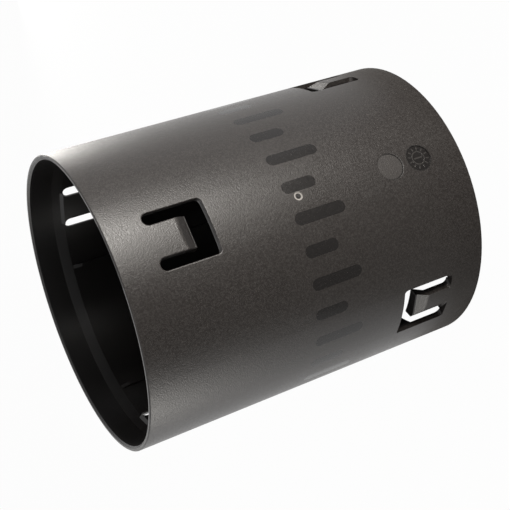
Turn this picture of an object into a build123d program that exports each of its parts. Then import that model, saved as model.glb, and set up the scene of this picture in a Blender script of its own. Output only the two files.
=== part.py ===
from build123d import *
import math
import os

# Connector sleeve for two lengths of corrugated land drain pipe, in millimetres.
# The sleeve stands on one mouth, with its axis on Z and the origin at the centre of the lower rim.

# Sleeve
sleeve_length = 130.0
bore_diameter = 102.0
mouth_wall = 1.75
body_wall = 2.25
land_length = 9.0
lead_length = 4.0
rim_chamfer = 0.35
mouth_chamfer = 0.7

# Guide ribs along the inside, midway between the clips, that centre a pipe
rib_ramp = 3.5
rib_height = 0.6
rib_width = 1.4

# Clips: one near each third of a mouth, the two ends turned half a pitch from each other
clips_per_end = 3
gate_azimuth = -90.0
slot_setback = 0.2
slot_width = 19.0
leg_width = 3.95
crossbar_width = 6.5
slot_corner = 1.5
slot_round = 0.4
tongue_corner = 0.3
end_flat = 0.04

# Spring tongue: a thick leaf whose end is bent inwards to catch in a valley of the pipe
tongue_length = 13.8
tongue_thickness = 3.0
pad_run = 2.5
bend_length = 3.8
bend_drop = 1.9
tip_depth = 5.15
tip_land = 0.6
bend_round = 2.0
ramp_round = 1.0
tip_round = 0.5
bend_lean = 5.0

# The mould opens along Y. Slots off that line have their trailing walls cut back at the outside
wall_relief = 2.0
tongue_relief = 3.8
relief_corner = 0.6
relief_overshoot = 0.3

# Marks left by the mould on the gate line
gate_height = 65.0
gate_dimple_diameter = 2.9
gate_dimple_depth = 0.25
gate_pip_diameter = 1.1
gate_pip_height = 0.2
insert_height = 28.7
insert_diameter = 9.3
insert_step = 0.12
dial_height = 17.0
dial_diameter = 9.0
dial_step = 0.2

bore_radius = bore_diameter / 2
outer_radius = bore_radius + mouth_wall
inner_radius = outer_radius - body_wall
slot_start = land_length + lead_length + slot_setback
slot_half = slot_width / 2
tongue_half = slot_half - leg_width
tongue_tip = slot_start + tongue_length
slot_end = tongue_tip + crossbar_width
bend_start = tongue_tip - bend_length
tip_radius = outer_radius - tip_depth
middle_plane = Plane.XY.offset(sleeve_length / 2)

# How far a cutter runs on past the face that it leaves, and how near counts as on a face
clearance = 2.0
tolerance = 0.001


def sleeve_body():
    """The plain tube: a straight land at each mouth, then a short lead down to a thicker wall."""
    land_end = land_length
    lead_end = land_length + lead_length
    profile = Polyline(
        (bore_radius, 0),
        (outer_radius, 0),
        (outer_radius, sleeve_length),
        (bore_radius, sleeve_length),
        (bore_radius, sleeve_length - land_end),
        (inner_radius, sleeve_length - lead_end),
        (inner_radius, lead_end),
        (bore_radius, land_end),
        close=True,
    )
    tube = revolve(Plane.XZ * make_face(profile), Axis.Z)
    rims = tube.faces().filter_by(Axis.Z).edges().sort_by(SortBy.RADIUS)
    tube = chamfer(rims[:2], mouth_chamfer)
    rims = tube.faces().filter_by(Axis.Z).edges().sort_by(SortBy.RADIUS)
    return chamfer(rims[-2:], rim_chamfer)


def guide_rib(azimuth):
    """A low rib that starts level with the slots, ramped at both ends for a pipe to ride up on."""
    crest = inner_radius - rib_height
    root = inner_radius + body_wall / 2
    profile = Polyline(
        (root, slot_start),
        (inner_radius, slot_start),
        (crest, slot_start + rib_ramp),
        (crest, sleeve_length - slot_start - rib_ramp),
        (inner_radius, sleeve_length - slot_start),
        (root, sleeve_length - slot_start),
        close=True,
    )
    return Rot(0, 0, azimuth) * extrude(Plane.XZ * make_face(profile), rib_width / 2, both=True)


def slot_outline(x, wall_shift, tongue_shift, end_round, trailing_round):
    """The U of a slot on a plane x from the axis: Y across the clip, Z down from the rim."""
    wall = slot_half + wall_shift
    near = -tongue_half + tongue_shift
    corners = [
        (-slot_half, slot_start, end_round),
        (-slot_half, slot_end, trailing_round),
        (wall, slot_end, slot_corner),
        (wall, slot_start, end_round),
        (tongue_half, slot_start, end_round),
        (tongue_half, tongue_tip, tongue_corner),
        (near, tongue_tip, tongue_corner),
        (near, slot_start, end_round),
    ]
    points = [(y, z) for y, z, radius in corners]
    radii = [radius for y, z, radius in corners]
    return Plane.YZ.offset(x) * make_face(FilletPolyline(*points, radius=radii, close=True))


def slot_cutter(relieved):
    """The pins that form a slot: a straight one, and off the gate line one that widens outwards."""
    inside = tip_radius - clearance
    beyond = outer_radius + clearance
    end_round = (leg_width - end_flat) / 2
    pin = extrude(slot_outline(inside, 0, 0, end_round, slot_corner), beyond - inside)
    if not relieved:
        return [pin]
    # The widening starts where the tongue's side meets the inner face and is full at the outer face
    start = math.sqrt(inner_radius**2 - tongue_half**2)
    top = outer_radius + relief_overshoot
    wall_shift = wall_relief * (top - start) / (math.sqrt(outer_radius**2 - slot_half**2) - start)
    tongue_shift = tongue_relief * (top - start) / (math.sqrt(outer_radius**2 - tongue_half**2) - start)
    sections = [
        slot_outline(start, 0, 0, end_round, slot_corner),
        slot_outline(top, wall_shift, tongue_shift, relief_corner, relief_corner),
    ]
    return [pin, loft(sections, ruled=True)]


def tongue_pad():
    """The extra thickness inside a tongue, with the ramp that runs in to its tip."""
    inner = outer_radius - tongue_thickness
    root = inner_radius + body_wall / 2
    profile = FilletPolyline(
        (root, slot_start - pad_run),
        (inner, slot_start),
        (inner, bend_start),
        (tip_radius, tongue_tip - tip_land),
        (tip_radius, tongue_tip + clearance),
        (root, tongue_tip + clearance),
        radius=[0, 0, ramp_round, tip_round, 0, 0],
        close=True,
    )
    ring = revolve(Plane.XZ * make_face(profile), Axis.Z)
    width = 2 * tongue_half + leg_width
    return ring & Pos(outer_radius, 0, tongue_tip / 2) * Box(outer_radius, width, 2 * tongue_tip)


def bend_cutter(lean):
    """What is taken off a tongue's outside where its end bends inwards."""
    low = outer_radius - bend_drop
    high = outer_radius + clearance
    ramp_end = tongue_tip - tip_land
    slope = (ramp_end - bend_start) / bend_drop
    profile = FilletPolyline(
        (high, ramp_end - slope * (high - low)),
        (low, ramp_end),
        (low, tongue_tip + clearance),
        (high, tongue_tip + clearance),
        radius=[0, tip_round, 0, 0],
        close=True,
    )
    width = 2 * tongue_half + leg_width
    block = extrude(Plane.XZ * make_face(profile), width / 2, both=True)
    return block.rotate(Axis((low, 0, 0), (0, 0, 1)), lean)


def clip(azimuth, top):
    """The pad to add and the cuts to make for one clip, at its place on the sleeve."""
    across = math.cos(math.radians(azimuth))
    along = math.sin(math.radians(azimuth))
    off_line = abs(across) > tolerance
    shapes = [tongue_pad(), bend_cutter(bend_lean if off_line else 0), *slot_cutter(off_line)]
    # The walls cut back are on the side that this half of the mould draws to
    if off_line and across * along < 0:
        shapes = [shape.mirror(Plane.XZ) for shape in shapes]
    if top:
        shapes = [shape.mirror(middle_plane) for shape in shapes]
    return [Rot(0, 0, azimuth) * shape for shape in shapes]


def gate_marks(body):
    """The gate's dimple with its pip, and the faint steps where two round inserts met the mould."""
    for height, diameter, depth in (
        (gate_height, gate_dimple_diameter, gate_dimple_depth),
        (insert_height, insert_diameter, insert_step),
        (dial_height, dial_diameter, dial_step),
    ):
        body -= gate_line_disc(height, diameter) & skin(depth)
    floor = gate_dimple_depth - gate_pip_height
    pip = gate_line_disc(gate_height, gate_pip_diameter) & (skin(body_wall / 2) - skin(floor))
    return body + pip


def gate_line_disc(height, diameter):
    """A short round bar along Y that crosses the wall on the gate line."""
    place = Plane((0, -outer_radius - clearance, height), x_dir=(1, 0, 0), z_dir=(0, 1, 0))
    return extrude(place * Circle(diameter / 2), 2 * clearance)


def skin(depth):
    """The outermost layer of the sleeve, down to a depth below its outer face."""
    inner = outer_radius - depth
    centre = Pos(0, 0, sleeve_length / 2)
    return centre * (Cylinder(outer_radius + clearance, sleeve_length) - Cylinder(inner, sleeve_length))


def connector_sleeve():
    pitch = 360 / clips_per_end
    clips = [clip(gate_azimuth + pitch * i, True) for i in range(clips_per_end)]
    clips += [clip(gate_azimuth + pitch * (i + 0.5), False) for i in range(clips_per_end)]
    body = sleeve_body()
    for i in range(2 * clips_per_end):
        body += guide_rib(gate_azimuth + pitch * (2 * i + 1) / 4)
    for pad, *cutters in clips:
        body += pad
    for pad, *cutters in clips:
        for cutter in cutters:
            body -= cutter
    bends = [edge for edge in body.edges().filter_by(GeomType.ELLIPSE) if on_outer_face(edge)]
    body = fillet(bends, bend_round)
    slots = [edge for edge in body.edges() if on_gate_line_slot(edge)]
    return gate_marks(fillet(slots, slot_round))


def on_outer_face(edge):
    points = [edge @ share for share in (0, 0.5, 1)]
    return all(abs(math.hypot(point.X, point.Y) - outer_radius) < tolerance for point in points)


def on_gate_line_slot(edge):
    """Whether an edge is on the outline of a straight slot, which is the kind on the gate line."""
    points = [edge @ share for share in (0, 0.5, 1)]
    return on_outer_face(edge) and all(abs(point.X) < slot_half + tolerance for point in points)


os.makedirs("parts", exist_ok=True)
sleeve = connector_sleeve()
export_step(sleeve, "parts/connector_sleeve.step")
print("connector_sleeve", round(sleeve.volume), "mm3")
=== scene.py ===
import math
import bpy
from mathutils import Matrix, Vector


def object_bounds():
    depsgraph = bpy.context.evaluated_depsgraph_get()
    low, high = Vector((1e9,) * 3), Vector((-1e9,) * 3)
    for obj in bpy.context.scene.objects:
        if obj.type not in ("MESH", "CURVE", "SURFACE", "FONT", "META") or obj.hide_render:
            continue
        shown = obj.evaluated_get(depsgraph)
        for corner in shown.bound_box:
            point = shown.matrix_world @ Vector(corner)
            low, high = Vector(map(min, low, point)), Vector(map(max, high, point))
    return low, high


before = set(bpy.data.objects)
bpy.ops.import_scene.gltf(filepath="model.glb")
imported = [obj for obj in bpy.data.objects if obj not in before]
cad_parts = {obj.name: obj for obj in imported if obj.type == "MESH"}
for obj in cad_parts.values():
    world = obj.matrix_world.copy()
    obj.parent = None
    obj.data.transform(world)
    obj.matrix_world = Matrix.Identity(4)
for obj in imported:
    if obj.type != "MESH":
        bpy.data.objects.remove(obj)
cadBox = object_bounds()
scene = bpy.context.scene
scene.view_settings.view_transform = "Standard"
print("frame loaded:", ", ".join(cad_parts))

# Metres throughout. The sleeve stands on its lower mouth, axis on Z, gate line towards -Y.
outerRadius = cadBox[1][0]  # the outer face reaches the box's highest X


# helpers that build node trees

def newMaterial(name):
    material = bpy.data.materials.new(name)
    material.use_nodes = True
    material.node_tree.nodes.clear()
    return material, material.node_tree


def addNode(tree, kind, **settings):
    node = tree.nodes.new(kind)
    for key, value in settings.items():
        setattr(node, key, value)
    return node


def plug(tree, socket, value):
    # a link from another socket, or a plain value
    if isinstance(value, bpy.types.NodeSocket):
        tree.links.new(value, socket)
    else:
        socket.default_value = value


def maths(tree, operation, first, second=None, third=None, clamp=False):
    node = addNode(tree, "ShaderNodeMath", operation=operation, use_clamp=clamp)
    for socket, value in zip(node.inputs, (first, second, third)):
        if value is not None:
            plug(tree, socket, value)
    return node.outputs[0]


def plus(tree, first, second, clamp=False):
    return maths(tree, "ADD", first, second, clamp=clamp)


def minus(tree, first, second, clamp=False):
    return maths(tree, "SUBTRACT", first, second, clamp=clamp)


def times(tree, first, *others):
    for other in others:
        first = maths(tree, "MULTIPLY", first, other)
    return first


def largest(tree, first, *others):
    for other in others:
        first = maths(tree, "MAXIMUM", first, other)
    return first


def above(tree, value, level):
    return maths(tree, "GREATER_THAN", value, level)


def below(tree, value, level):
    return maths(tree, "LESS_THAN", value, level)


def awayFrom(tree, value, level):
    return maths(tree, "ABSOLUTE", minus(tree, value, level))


def diagonal(tree, first, second):
    return maths(tree, "SQRT", plus(tree, times(tree, first, first), times(tree, second, second)))


def ramp(tree, value, low, high, atLow=0.0, atHigh=1.0):
    # smooth step from one value to the other
    node = addNode(tree, "ShaderNodeMapRange", interpolation_type="SMOOTHSTEP", clamp=True)
    entries = {"Value": value, "From Min": low, "From Max": high, "To Min": atLow, "To Max": atHigh}
    for name, entry in entries.items():
        plug(tree, node.inputs[name], entry)
    return node.outputs["Result"]


def blend(tree, kind, share, first, second):
    node = addNode(tree, "ShaderNodeMix", data_type=kind)
    plug(tree, node.inputs["Factor"], share)
    plug(tree, node.inputs["A"], first)
    plug(tree, node.inputs["B"], second)
    return node.outputs["Result"]


def mixShaders(tree, share, first, second):
    mix = addNode(tree, "ShaderNodeMixShader")
    for socket, value in zip(mix.inputs, (share, first, second)):
        tree.links.new(value, socket)
    return mix.outputs[0]


def noise(tree, place, pattern):
    if "stretch" in pattern:
        mapping = addNode(tree, "ShaderNodeMapping")
        mapping.inputs["Scale"].default_value = pattern["stretch"]
        plug(tree, mapping.inputs["Vector"], place)
        place = mapping.outputs["Vector"]
    node = addNode(tree, "ShaderNodeTexNoise")
    plug(tree, node.inputs["Vector"], place)
    node.inputs["Scale"].default_value = pattern["scale"]
    node.inputs["Detail"].default_value = pattern["detail"]
    node.inputs["Roughness"].default_value = pattern["roughness"]
    return node.outputs["Fac"]


def parted(tree, place):
    parts = addNode(tree, "ShaderNodeSeparateXYZ")
    tree.links.new(place, parts.inputs[0])
    return parts.outputs


# camera

view = dict(
    location=(-0.074095, -0.338556, 0.216283),
    turn=(-36.0591, 60.0317, -141.9626),  # degrees
    lens=72.835,
    sensor=36.0,
    nearest=0.01,
)


def addCamera():
    data = bpy.data.cameras.new("camera")
    data.lens = view["lens"]
    data.sensor_width = view["sensor"]
    data.clip_start = view["nearest"]
    camera = bpy.data.objects.new("camera", data)
    scene.collection.objects.link(camera)
    camera.location = view["location"]
    camera.rotation_euler = [math.radians(angle) for angle in view["turn"]]
    scene.camera = camera


addCamera()
print("camera placed")


# floor, and the white room round it

ground = dict(
    size=6.0,
    colour=(0.86, 0.86, 0.86, 1),
    whiteShare=0.975,  # how much of the floor's look is plain white, the rest is its lit surface
    mirroredFront=0.10,  # the same for gloss, which sees the dim studio in front of the sleeve
    mirroredBack=0.95,  # and the bright part of the floor behind it
    mirroredChange=(-0.02, 0.03),  # where along Y the dim part gives way to the bright one
    mirroredRight=1.3,  # how far the bright part comes forward on the right and on the left
    mirroredLeft=0.3,
    shade=(0.058, 0.080),  # the floor near the foot is in the sleeve's own shade
)

room = dict(
    ambient=0.06,
    ambientColour=(1.0, 0.975, 0.94, 1),
    white=(1, 1, 1, 1),
)


def mirroredWhite(tree):
    # the white that gloss sees, apart from what lies inside the sleeve and close round its foot
    place = addNode(tree, "ShaderNodeTexCoord").outputs["Object"]
    length = addNode(tree, "ShaderNodeVectorMath", operation="LENGTH")
    tree.links.new(place, length.inputs[0])
    outside = ramp(tree, length.outputs["Value"], *ground["shade"])
    x, y, _ = parted(tree, place)
    right = times(tree, maths(tree, "MAXIMUM", x, 0.0), ground["mirroredRight"])
    left = times(tree, maths(tree, "MINIMUM", x, 0.0), -ground["mirroredLeft"])
    back = plus(tree, plus(tree, right, left), y)
    side = ramp(tree, back, *ground["mirroredChange"], ground["mirroredFront"], ground["mirroredBack"])
    return times(tree, outside, side)


def addFloor():
    bpy.ops.object.select_all(action="DESELECT")
    bpy.ops.mesh.primitive_plane_add(size=ground["size"], location=(0, 0, 0))
    floor = bpy.context.object
    floor.name = "floor"
    material, tree = newMaterial("pale_floor")
    paint = addNode(tree, "ShaderNodeBsdfDiffuse")
    paint.inputs["Color"].default_value = ground["colour"]
    white = addNode(tree, "ShaderNodeEmission")
    path = addNode(tree, "ShaderNodeLightPath").outputs
    mirrored = times(tree, path["Is Glossy Ray"], mirroredWhite(tree))
    seen = largest(tree, path["Is Camera Ray"], mirrored, path["Is Transmission Ray"])
    seen = times(tree, seen, ground["whiteShare"])
    surface = mixShaders(tree, seen, paint.outputs[0], white.outputs[0])
    out = addNode(tree, "ShaderNodeOutputMaterial")
    tree.links.new(surface, out.inputs["Surface"])
    floor.data.materials.append(material)


def addWorld():
    # white to look at and in gloss, dim as a light
    world = bpy.data.worlds.new("white_room")
    scene.world = world
    world.use_nodes = True
    tree = world.node_tree
    tree.nodes.clear()
    path = addNode(tree, "ShaderNodeLightPath").outputs
    direct = largest(tree, path["Is Camera Ray"], path["Is Transmission Ray"], path["Is Glossy Ray"])
    dim = addNode(tree, "ShaderNodeBackground")
    dim.inputs["Color"].default_value = room["ambientColour"]
    dim.inputs["Strength"].default_value = room["ambient"]
    white = addNode(tree, "ShaderNodeBackground")
    white.inputs["Color"].default_value = room["white"]
    surface = mixShaders(tree, direct, dim.outputs[0], white.outputs[0])
    out = addNode(tree, "ShaderNodeOutputWorld")
    tree.links.new(surface, out.inputs["Surface"])


addFloor()
addWorld()
print("floor and white room ready")


# lamps: upright soft panels that face the sleeve's axis

lamps = [
    # azimuth and height of the centre, distance from the axis, width, height, power in watts
    dict(azimuth=-64, height=0.065, distance=0.45, width=0.17, tall=0.13, power=2.2),
    dict(azimuth=-84, height=0.065, distance=0.45, width=0.10, tall=0.13, power=0.30),
    dict(azimuth=30, height=0.075, distance=0.45, width=0.30, tall=0.15, power=0.95),
    dict(azimuth=168, height=0.065, distance=0.45, width=0.26, tall=0.13, power=0.70),
    dict(azimuth=100, height=0.55, distance=0.45, width=0.40, tall=0.40, power=0.6),
]
lampTarget = 0.065  # height on the axis that every panel faces
lampColour = (1.0, 0.965, 0.91)


def addLamp(lamp, name):
    angle = math.radians(lamp["azimuth"])
    data = bpy.data.lights.new(name, "AREA")
    data.shape = "RECTANGLE"
    data.size = lamp["width"]
    data.size_y = lamp["tall"]
    data.energy = lamp["power"]
    data.color = lampColour
    panel = bpy.data.objects.new(name, data)
    scene.collection.objects.link(panel)
    reach = lamp["distance"]
    panel.location = (reach * math.cos(angle), reach * math.sin(angle), lamp["height"])
    tilt = math.atan2(lamp["height"] - lampTarget, reach)
    panel.rotation_euler = (math.pi / 2 - tilt, 0, angle + math.pi / 2)
    panel.visible_camera = False


for index, lamp in enumerate(lamps):
    addLamp(lamp, f"panel_{index}")
print(len(lamps), "lamps placed")


# strokes: a row of smooth bars with round ends, each along the axis

strokes = dict(
    low=0.0505,
    high=0.0695,
    shorter=0.0065,  # every second stroke starts this much higher
    halfWidth=0.0021,
    edge=0.00012,
    pitch=12.0,  # degrees
    first=-176.0,
    last=-26.0,
)


def strokeMask(tree, turn, z, onOuter):
    # distance to the middle line of the nearest stroke, as a capsule
    pitch = math.radians(strokes["pitch"])
    start = math.radians(strokes["first"])
    end = math.radians(strokes["last"])
    shifted = minus(tree, turn, start)
    cell = minus(tree, maths(tree, "MODULO", shifted, pitch), pitch / 2)
    across = times(tree, cell, outerRadius)
    index = maths(tree, "FLOOR", maths(tree, "DIVIDE", shifted, pitch))
    short = maths(tree, "MODULO", index, 2.0)
    low = plus(tree, strokes["low"] + strokes["halfWidth"], times(tree, short, strokes["shorter"]))
    high = strokes["high"] - strokes["halfWidth"]
    over = maths(tree, "MAXIMUM", minus(tree, z, high), 0.0)
    under = maths(tree, "MAXIMUM", minus(tree, low, z), 0.0)
    distance = diagonal(tree, across, plus(tree, over, under))
    outside = strokes["halfWidth"] + strokes["edge"]
    inside = strokes["halfWidth"] - strokes["edge"]
    mask = ramp(tree, distance, outside, inside)
    return times(tree, mask, above(tree, turn, start), below(tree, turn, end), onOuter)


# round marks on the gate line

def discDistance(tree, x, y, z, height):
    # from the disc's centre, for the side that faces -Y, and far away on the other side
    rise = minus(tree, z, height)
    return plus(tree, diagonal(tree, x, rise), above(tree, y, 0.0)), rise


def discMask(tree, reach, disc, onOuter):
    outside = disc["radius"] + disc["edge"]
    inside = disc["radius"] - disc["edge"]
    return times(tree, ramp(tree, reach, outside, inside), onOuter)


# dial: a smooth disc with raised ticks, a ring and a shaft, and a dark outline round it, the painted
# shadow of its step

dial = dict(
    height=0.017,
    radius=0.0045,
    edge=0.0001,
    rim=(0.0004, 0.0002),
    ticks=12,
    tickStart=0.0028,
    tickEnd=0.0040,
    tickEdge=(0.00028, 0.00018),
    ringRadius=0.0023,
    ringEdge=(0.00028, 0.00016),
    shaftEdge=(0.00036, 0.00024),
    shaftHalf=0.0017,
    raised=0.00012,
    paler=0.07,  # how much the raised lines are whitened
)


def dialMasks(tree, x, y, z, onOuter):
    reach, rise = discDistance(tree, x, y, z, dial["height"])
    disc = discMask(tree, reach, dial, onOuter)
    step = 2 * math.pi / dial["ticks"]
    spoke = plus(tree, maths(tree, "ARCTAN2", rise, x), 2 * math.pi)  # a whole turn keeps it above zero
    tick = awayFrom(tree, maths(tree, "MODULO", spoke, step), step / 2)
    tick = ramp(tree, times(tree, tick, reach), *dial["tickEdge"])
    tick = times(tree, tick, above(tree, reach, dial["tickStart"]), below(tree, reach, dial["tickEnd"]))
    ring = ramp(tree, awayFrom(tree, reach, dial["ringRadius"]), *dial["ringEdge"])
    shaft = ramp(tree, awayFrom(tree, x, 0.0), *dial["shaftEdge"])
    shaft = times(tree, shaft, below(tree, awayFrom(tree, rise, 0.0), dial["shaftHalf"]))
    raised = times(tree, largest(tree, tick, ring, shaft), disc)
    # painted shadow of the dial's step, all round its edge
    rim = ramp(tree, awayFrom(tree, reach, dial["radius"]), *dial["rim"])
    return disc, raised, rim


# insert: a plain paler disc above the dial, in a dark seam: a shallow groove with the shadow of its step
# painted on, deepest on its lower side

insert = dict(
    height=0.0287,
    radius=0.00465,
    edge=0.0001,
    paler=0.6,
    rougher=0.10,
    seamEdge=(0.00034, 0.00012),
    # the seam's painted shadow is strongest on the disc's lower side and fades towards its upper side
    seamFade=(0.003, -0.002),
    seamShare=(0.2, 1.0),
    seamDepth=0.00005,
)


def insertMasks(tree, x, y, z, onOuter):
    reach, rise = discDistance(tree, x, y, z, insert["height"])
    disc = discMask(tree, reach, insert, onOuter)
    seam = ramp(tree, awayFrom(tree, reach, insert["radius"]), *insert["seamEdge"])
    # painted shadow of the step, darkest on the disc's lower side
    seam = times(tree, seam, ramp(tree, rise, *insert["seamFade"], *insert["seamShare"]))
    return disc, seam


# gate: a thin whitened ring round a dark core, with slightly paler plastic round both

gate = dict(
    height=0.065,
    ringRadius=0.00125,
    ringEdge=(0.00036, 0.00018),
    whitened=0.7,
    flow=(0.0055, 0.001),
    flowPaler=0.35,
    core=(0.0009, 0.0006),
)


def gateMasks(tree, x, y, z):
    reach, _ = discDistance(tree, x, y, z, gate["height"])
    ring = ramp(tree, awayFrom(tree, reach, gate["ringRadius"]), *gate["ringEdge"])
    flow = times(tree, ramp(tree, reach, *gate["flow"]), gate["flowPaler"])
    core = ramp(tree, reach, *gate["core"])
    return ring, flow, core


# front slot, near the upper mouth: its walls and the bent end of its tongue are duller, and painted
# darker as shade, since the walls lie in a recess and the bend turns away from the light

frontSlot = dict(
    halfWidth=0.0102,
    tongueHalf=0.0056,
    lowest=0.09,
    inner=(0.0510, 0.0512),
    outer=0.0522,
    tongueOuter=0.0003,  # how much further out it reaches on the tongue
    fade=0.0002,
    rougher=0.25,
    # how much painted shade darkens the slot's walls and the tongue's bend
    paintedShade=0.8,
)


def slotMask(tree, x, y, z, radius):
    aside = awayFrom(tree, x, 0.0)
    onTongue = below(tree, aside, frontSlot["tongueHalf"])
    top = maths(tree, "MULTIPLY_ADD", onTongue, frontSlot["tongueOuter"], frontSlot["outer"])
    inner = ramp(tree, radius, *frontSlot["inner"])
    outer = ramp(tree, minus(tree, radius, top), frontSlot["fade"], 0.0)
    high = above(tree, z, frontSlot["lowest"])
    narrow = below(tree, aside, frontSlot["halfWidth"])
    return times(tree, inner, outer, high, narrow, below(tree, y, 0.0))


# bore: painted darker than the outside as the shade inside the sleeve, with an even gloss and less grain

bore = dict(
    edge=(0.05125, 0.05105),
    roughness=0.36,
    grainLost=0.8,
)


# moulded plastic: black and satin, with a spark grain

plastic = dict(
    colour=(0.0170, 0.0142, 0.0131, 1),
    paleColour=(0.046, 0.042, 0.040, 1),
    darkColour=(0.006, 0.005, 0.005, 1),
    whitenedColour=(0.42, 0.40, 0.38, 1),
    darkShare=0.9,
    roughness=0.36,
    ior=1.44,
    skin=0.0006,  # what is this near the outer face counts as outside
    polish=0.12,  # how much smoother the strokes and the dial are
    grainLost=0.9,  # how much of the grain they lack
)

# scales are in cells per metre, depths in metres, and gloss is how far a pattern moves the roughness
grain = dict(scale=2600.0, detail=1.0, roughness=0.5, depth=0.00007)
mottle = dict(scale=1250.0, detail=3.0, roughness=0.6, depth=0.00004, gloss=0.30)
cloud = dict(scale=38.0, detail=3.0, roughness=0.55, gloss=0.10)
drag = dict(scale=260.0, detail=2.0, roughness=0.5, depth=0.000006, stretch=(1.0, 1.0, 0.12))  # along Z
speckle = dict(mottleShare=0.65, grainShare=0.7, edge=(0.56, 0.84), paler=0.55)


def aroundZero(tree, pattern, strength):
    return times(tree, minus(tree, pattern, 0.5), strength)


def glossOf(tree, masks, patterns):
    # satin all over, varied by the mottle and the clouds, and smoother in the marks
    rough = plus(tree, plastic["roughness"], aroundZero(tree, patterns["mottle"], mottle["gloss"]))
    rough = plus(tree, rough, aroundZero(tree, patterns["cloud"], cloud["gloss"]))
    rough = plus(tree, rough, times(tree, masks["insert"], insert["rougher"]))
    rough = minus(tree, rough, times(tree, masks["smooth"], plastic["polish"]), clamp=True)
    rough = blend(tree, "FLOAT", masks["bore"], rough, bore["roughness"])
    return plus(tree, rough, times(tree, masks["slot"], frontSlot["rougher"]), clamp=True)


def bumpOf(tree, masks, patterns):
    # spark grain, mostly left off the smooth marks and the bore, with the dial's lines and the seam
    height = aroundZero(tree, patterns["grain"], grain["depth"])
    height = plus(tree, height, aroundZero(tree, patterns["mottle"], mottle["depth"]))
    onMarks = times(tree, masks["smooth"], plastic["grainLost"])
    bare = largest(tree, onMarks, times(tree, masks["bore"], bore["grainLost"]))
    height = times(tree, height, minus(tree, 1.0, bare))
    height = plus(tree, height, times(tree, patterns["drag"], drag["depth"]))
    height = plus(tree, height, times(tree, masks["raised"], dial["raised"]))
    height = minus(tree, height, times(tree, masks["seam"], insert["seamDepth"]))
    bump = addNode(tree, "ShaderNodeBump")
    bump.inputs["Strength"].default_value = 1.0
    bump.inputs["Distance"].default_value = 1.0  # heights are real ones
    tree.links.new(height, bump.inputs["Height"])
    return bump.outputs[0]


def colourOf(tree, masks, patterns):
    fromMottle = times(tree, patterns["mottle"], speckle["mottleShare"])
    fromGrain = times(tree, patterns["grain"], speckle["grainShare"])
    specks = ramp(tree, plus(tree, fromMottle, fromGrain), *speckle["edge"])
    specks = times(tree, specks, speckle["paler"])
    pale = largest(tree, specks, times(tree, masks["insert"], insert["paler"]), masks["flow"])
    # painted shade on the front slot's walls and its tongue's bend
    slot = times(tree, masks["slot"], frontSlot["paintedShade"])
    # the smooth marks and the gate's core are dark plastic; the rest is painted shade: the insert's seam
    # shadow, the dial's rim shadow, the front slot and the bore
    darkMarksAndShade = largest(tree, masks["smooth"], masks["seam"], masks["rim"], masks["core"], slot, masks["bore"])
    darkMarksAndShade = times(tree, darkMarksAndShade, plastic["darkShare"])
    ring = times(tree, masks["ring"], gate["whitened"])
    whitened = largest(tree, ring, times(tree, masks["raised"], dial["paler"]))
    tone = blend(tree, "RGBA", pale, plastic["colour"], plastic["paleColour"])
    tone = blend(tree, "RGBA", darkMarksAndShade, tone, plastic["darkColour"])
    return blend(tree, "RGBA", whitened, tone, plastic["whitenedColour"])


def findMasks(tree, place):
    x, y, z = parted(tree, place)
    turn = maths(tree, "ARCTAN2", y, x)
    radius = diagonal(tree, x, y)
    onOuter = above(tree, radius, outerRadius - plastic["skin"])
    masks = {}
    masks["dial"], masks["raised"], masks["rim"] = dialMasks(tree, x, y, z, onOuter)
    masks["insert"], masks["seam"] = insertMasks(tree, x, y, z, onOuter)
    masks["ring"], masks["flow"], masks["core"] = gateMasks(tree, x, y, z)
    masks["smooth"] = largest(tree, strokeMask(tree, turn, z, onOuter), masks["dial"])
    masks["slot"] = slotMask(tree, x, y, z, radius)
    # the bore is smoother and less grainy, and its mask also paints the shade inside the sleeve
    masks["bore"] = ramp(tree, radius, *bore["edge"])
    return masks


def mouldedPlastic():
    material, tree = newMaterial("moulded_plastic")
    place = addNode(tree, "ShaderNodeTexCoord").outputs["Object"]
    masks = findMasks(tree, place)
    looks = dict(grain=grain, mottle=mottle, cloud=cloud, drag=drag)
    patterns = {name: noise(tree, place, look) for name, look in looks.items()}
    shader = addNode(tree, "ShaderNodeBsdfPrincipled")
    shader.inputs["IOR"].default_value = plastic["ior"]
    tree.links.new(colourOf(tree, masks, patterns), shader.inputs["Base Color"])
    tree.links.new(glossOf(tree, masks, patterns), shader.inputs["Roughness"])
    tree.links.new(bumpOf(tree, masks, patterns), shader.inputs["Normal"])
    out = addNode(tree, "ShaderNodeOutputMaterial")
    tree.links.new(shader.outputs[0], out.inputs["Surface"])
    return material


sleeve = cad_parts["connector_sleeve"]
finish = mouldedPlastic()
for slot in sleeve.material_slots:
    slot.material = finish
print("sleeve dressed")
